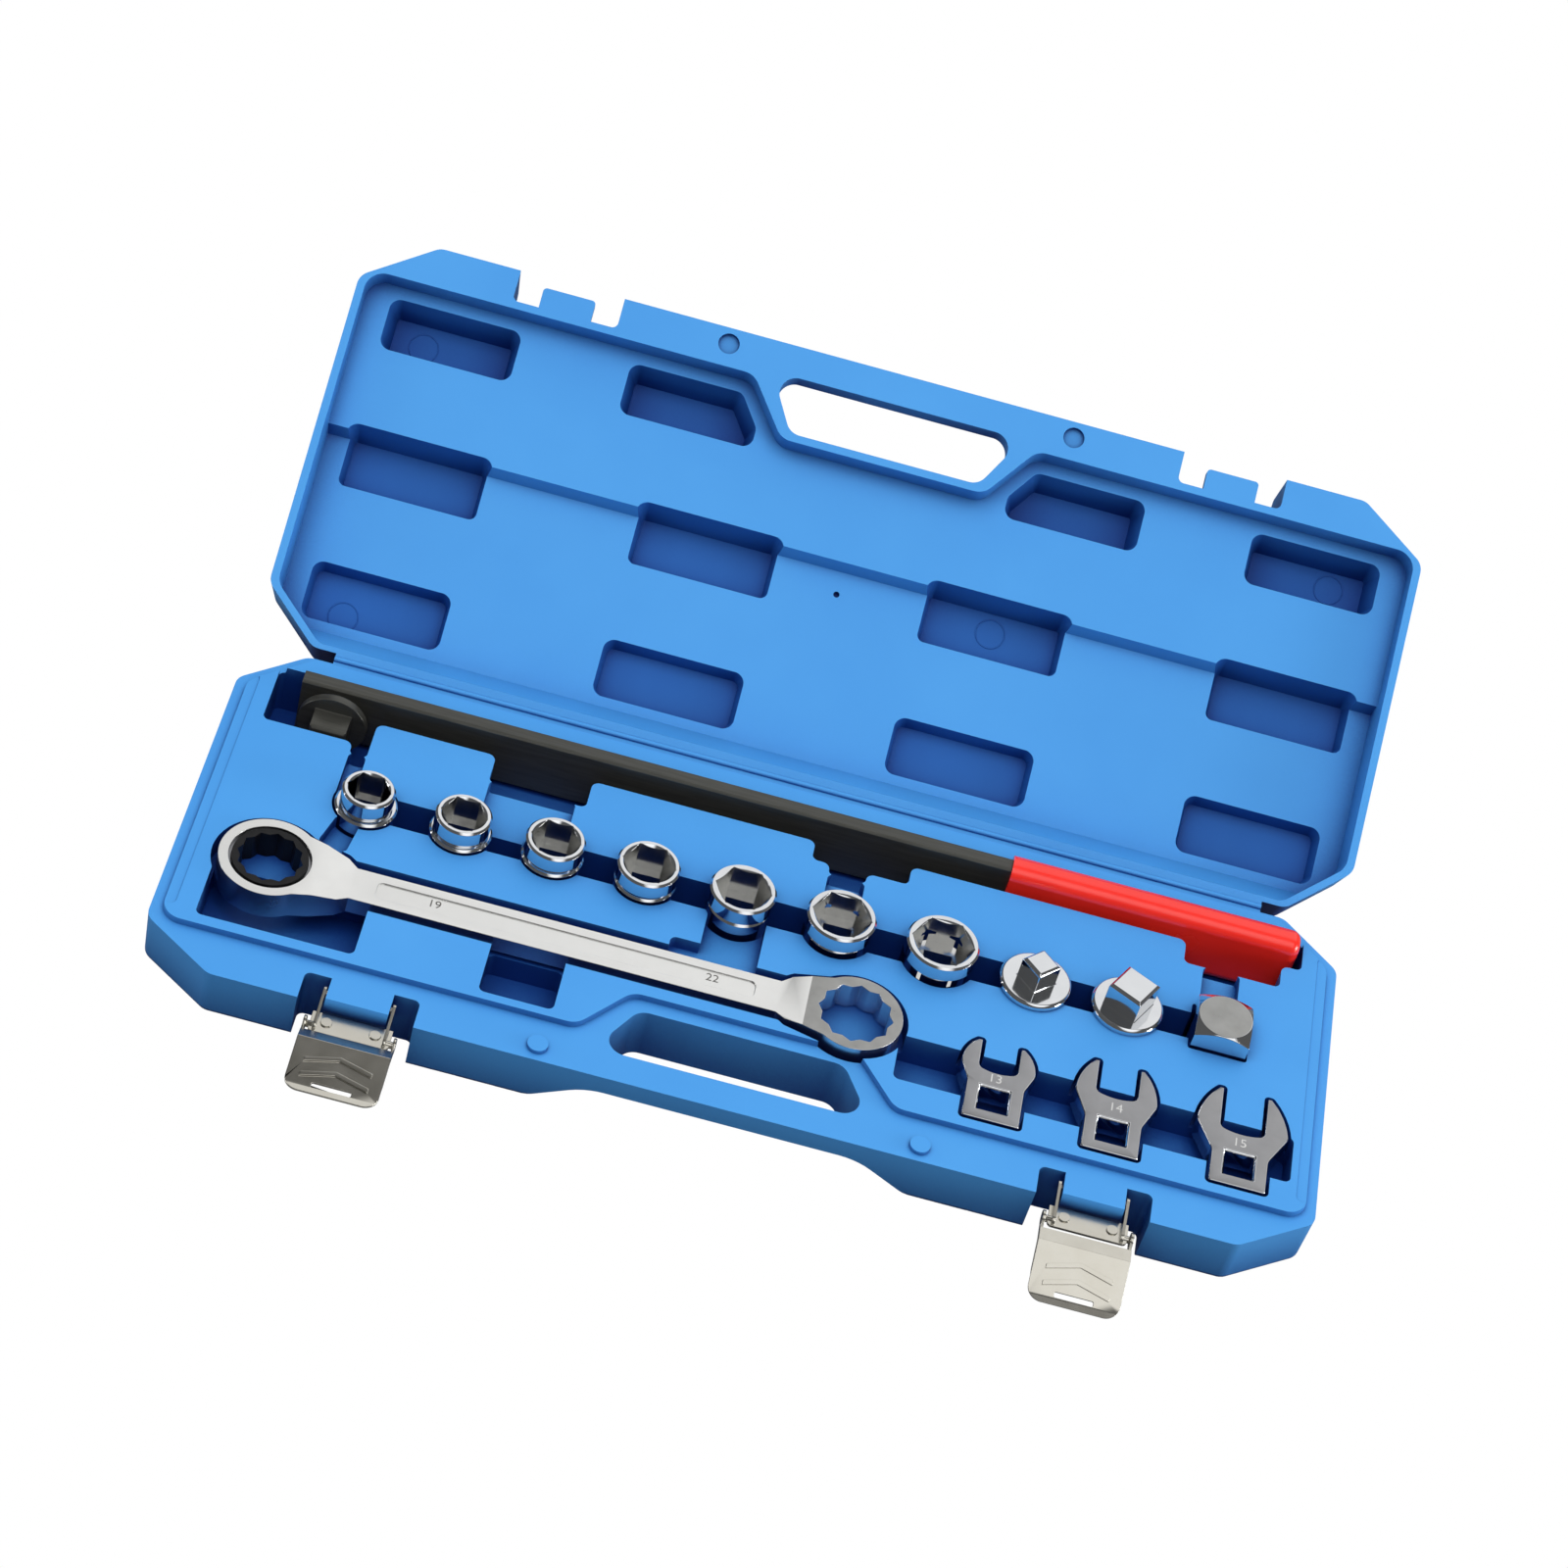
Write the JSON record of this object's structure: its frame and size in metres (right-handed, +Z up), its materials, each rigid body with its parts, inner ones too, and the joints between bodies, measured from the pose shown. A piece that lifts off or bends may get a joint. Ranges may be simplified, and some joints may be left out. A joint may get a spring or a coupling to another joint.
{
  "type": "socket wrench set in case",
  "caption": "Hinged plastic tool case, open, with hex sockets, drive adapters, a ratchet ring spanner, crow-foot spanners and a long tensioner bar in fitted pockets.",
  "frame": {"origin": "centre of the tray's flat underside", "axes": "+X along the hinge to the right as seen from the latches, +Y from the latches to the lid, +Z up"},
  "size_m": [0.39, 0.3291, 0.1028],
  "materials": {
    "case": "moulded blue polypropylene, fine satin grain",
    "latch": "nickel-plated stamped steel",
    "chrome": "polished chrome plating",
    "spanner": "satin chrome on forged steel",
    "gear": "hardened steel, plain",
    "spring_steel": "spring steel, plain",
    "crowfoot": "satin chrome with polished edges",
    "black_steel": "black oxide",
    "grip": "dipped red vinyl, glossy"
  },
  "bodies": {
    "tray": {"tray_shell": "case", "hinge_web": "case"},
    "lid": {"lid_shell": "case"},
    "latch_link_left": {"latch_link_left": "latch"},
    "latch_lever_left": {"latch_lever_left": "latch"},
    "latch_link_right": {"latch_link_right": "latch"},
    "latch_lever_right": {"latch_lever_right": "latch"},
    "ratchet_spanner": {"spanner_body": "spanner", "retaining_clip": "spring_steel", "pawl_spring": "spring_steel"},
    "ratchet_gear": {"ratchet_gear": "gear"},
    "ratchet_pawl": {"ratchet_pawl": "gear"},
    "tensioner_bar": {"tensioner_bar": "black_steel", "bar_drive_stud": "black_steel", "bar_grip": "grip"},
    "adapter_small": {"adapter_small": "chrome"},
    "adapter_large": {"adapter_large": "chrome"},
    "square_coupler": {"square_coupler": "chrome"},
    "socket_13": {"socket_13": "chrome"},
    "socket_14": {"socket_14": "chrome"},
    "socket_15": {"socket_15": "chrome"},
    "socket_16": {"socket_16": "chrome"},
    "socket_17": {"socket_17": "chrome"},
    "socket_18": {"socket_18": "chrome"},
    "socket_19": {"socket_19": "chrome"},
    "crowfoot_13": {"crowfoot_13": "crowfoot"},
    "crowfoot_14": {"crowfoot_14": "crowfoot"},
    "crowfoot_15": {"crowfoot_15": "crowfoot"}
  },
  "joints": [
    {"name": "lid_hinge", "type": "hinge", "parent": "tray", "child": "lid", "pos_m": [0, 0.077, 0.02], "axis": [-1, 0, 0], "range_deg": [-147.4, 0]},
    {"name": "latch_left_link", "type": "hinge", "parent": "tray", "child": "latch_link_left", "pos_m": [-0.122, -0.0695, 0.0165], "axis": [1, 0, 0], "range_deg": [-90, 10]},
    {"name": "latch_left_lever", "type": "hinge", "parent": "latch_link_left", "child": "latch_lever_left", "pos_m": [-0.122, -0.082, 0.0145], "axis": [-1, 0, 0], "range_deg": [-170.01, 18.9]},
    {"name": "latch_right_link", "type": "hinge", "parent": "tray", "child": "latch_link_right", "pos_m": [0.122, -0.0695, 0.0165], "axis": [1, 0, 0], "range_deg": [-90, 10]},
    {"name": "latch_right_lever", "type": "hinge", "parent": "latch_link_right", "child": "latch_lever_right", "pos_m": [0.122, -0.082, 0.0145], "axis": [-1, 0, 0], "range_deg": [-152.01, 16.9]},
    {"name": "tensioner_bar_lift", "type": "slide", "parent": "tray", "child": "tensioner_bar", "axis": [0, 0, 1], "range_m": [0, 0.06]},
    {"name": "socket_13_lift", "type": "slide", "parent": "tray", "child": "socket_13", "axis": [0, 0, 1], "range_m": [0, 0.05]},
    {"name": "socket_14_lift", "type": "slide", "parent": "tray", "child": "socket_14", "axis": [0, 0, 1], "range_m": [0, 0.05]},
    {"name": "socket_15_lift", "type": "slide", "parent": "tray", "child": "socket_15", "axis": [0, 0, 1], "range_m": [0, 0.05]},
    {"name": "socket_16_lift", "type": "slide", "parent": "tray", "child": "socket_16", "axis": [0, 0, 1], "range_m": [0, 0.05]},
    {"name": "socket_17_lift", "type": "slide", "parent": "tray", "child": "socket_17", "axis": [0, 0, 1], "range_m": [0, 0.05]},
    {"name": "socket_18_lift", "type": "slide", "parent": "tray", "child": "socket_18", "axis": [0, 0, 1], "range_m": [0, 0.05]},
    {"name": "socket_19_lift", "type": "slide", "parent": "tray", "child": "socket_19", "axis": [0, 0, 1], "range_m": [0, 0.05]},
    {"name": "adapter_small_lift", "type": "slide", "parent": "tray", "child": "adapter_small", "axis": [0, 0, 1], "range_m": [0, 0.05]},
    {"name": "adapter_large_lift", "type": "slide", "parent": "tray", "child": "adapter_large", "axis": [0, 0, 1], "range_m": [0, 0.05]},
    {"name": "square_coupler_lift", "type": "slide", "parent": "tray", "child": "square_coupler", "axis": [0, 0, 1], "range_m": [0, 0.05]},
    {"name": "ratchet_spanner_lift", "type": "slide", "parent": "tray", "child": "ratchet_spanner", "axis": [0, 0, 1], "range_m": [0, 0.05]},
    {"name": "ratchet_gear_spin", "type": "hinge", "parent": "ratchet_spanner", "child": "ratchet_gear", "pos_m": [-0.1635, -0.025, 0.01895], "axis": [0, 0, 1], "continuous": true},
    {"name": "ratchet_pawl_slide", "type": "slide", "parent": "ratchet_spanner", "child": "ratchet_pawl", "axis": [-1, 0, 0], "range_m": [0, 0.0009]},
    {"name": "crowfoot_13_lift", "type": "slide", "parent": "tray", "child": "crowfoot_13", "axis": [0, 0, 1], "range_m": [0, 0.04]},
    {"name": "crowfoot_14_lift", "type": "slide", "parent": "tray", "child": "crowfoot_14", "axis": [0, 0, 1], "range_m": [0, 0.04]},
    {"name": "crowfoot_15_lift", "type": "slide", "parent": "tray", "child": "crowfoot_15", "axis": [0, 0, 1], "range_m": [0, 0.04]}
  ],
  "couplings": [
    {"joint": "latch_left_lever", "follows": "latch_left_link", "ratio": 1.8889},
    {"joint": "latch_right_lever", "follows": "latch_right_link", "ratio": 1.6889}
  ]
}
